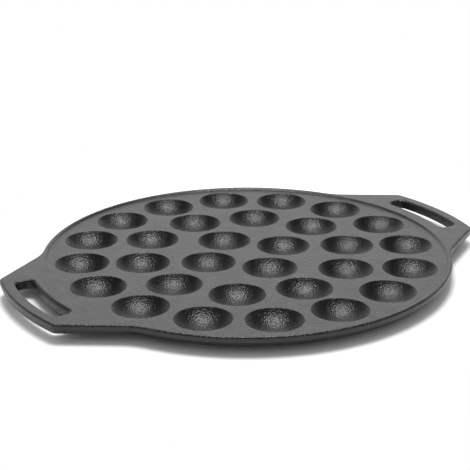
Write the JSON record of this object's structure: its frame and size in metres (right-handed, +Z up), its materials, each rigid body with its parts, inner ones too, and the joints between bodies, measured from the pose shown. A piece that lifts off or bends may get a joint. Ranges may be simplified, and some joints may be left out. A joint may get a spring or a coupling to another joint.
{
  "type": "poffertjes pan",
  "caption": "Round cast-iron pan with rings of bowl-shaped wells for small pancakes, a raised rim and slotted loop handles on opposite sides.",
  "frame": {"origin": "centre of the plate, at the height of the lands that the pan rests on", "axes": "+X through the middle of the right handle, +Z up out of the wells, +Y across the handles"},
  "size_m": [0.3654, 0.303, 0.014],
  "materials": {
    "cast_iron": "seasoned, matt black, fine sand-cast skin"
  },
  "bodies": {
    "root": {"pan_casting": "cast_iron"}
  },
  "joints": []
}
